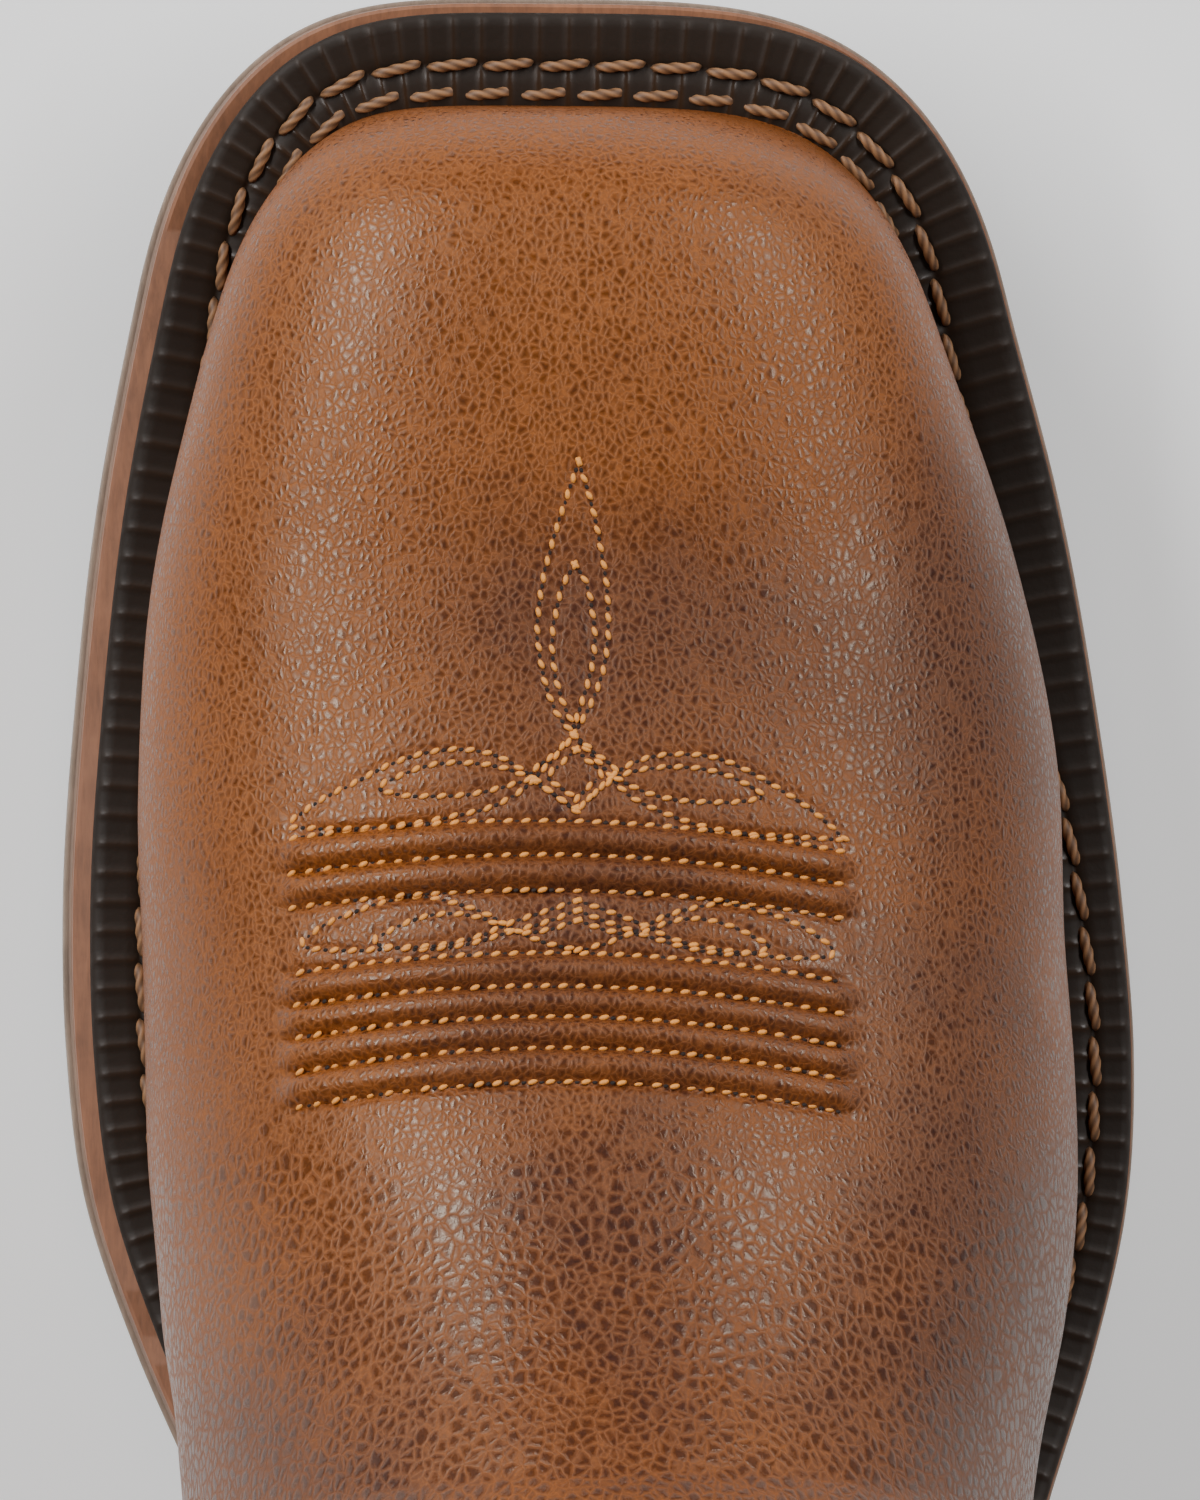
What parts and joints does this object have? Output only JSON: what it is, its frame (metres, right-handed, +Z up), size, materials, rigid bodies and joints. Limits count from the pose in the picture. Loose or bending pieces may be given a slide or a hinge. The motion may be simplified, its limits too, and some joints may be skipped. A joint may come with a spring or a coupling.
{
  "type": "western work boot",
  "caption": "Pull-on western work boot for the right foot, with a stitched welt, lugged rubber sole, block heel and two pull straps.",
  "frame": {"origin": "on the floor under the middle of the boot's box", "axes": "+Y towards the toe, +X towards the outer side of the right foot, +Z up"},
  "size_m": [0.115, 0.312, 0.3251],
  "materials": {
    "tan_leather": "oiled, pebbled grain",
    "lining_leather": "matt",
    "edge_leather": "sanded edge",
    "welt_leather": "waxed",
    "sole_rubber": "matt",
    "heel_stack": "waxed edge"
  },
  "bodies": {
    "root": {"outsole": "sole_rubber", "heel_lift": "sole_rubber", "heel_block": "heel_stack", "midsole": "edge_leather", "welt": "welt_leather", "insole": "lining_leather", "vamp": "tan_leather", "shaft_front": "tan_leather", "shaft_back": "tan_leather", "heel_counter": "tan_leather", "collar_binding": "tan_leather", "side_piping_medial": "edge_leather", "side_piping_lateral": "edge_leather", "pull_strap_medial": "tan_leather", "pull_strap_lateral": "tan_leather"}
  },
  "joints": []
}
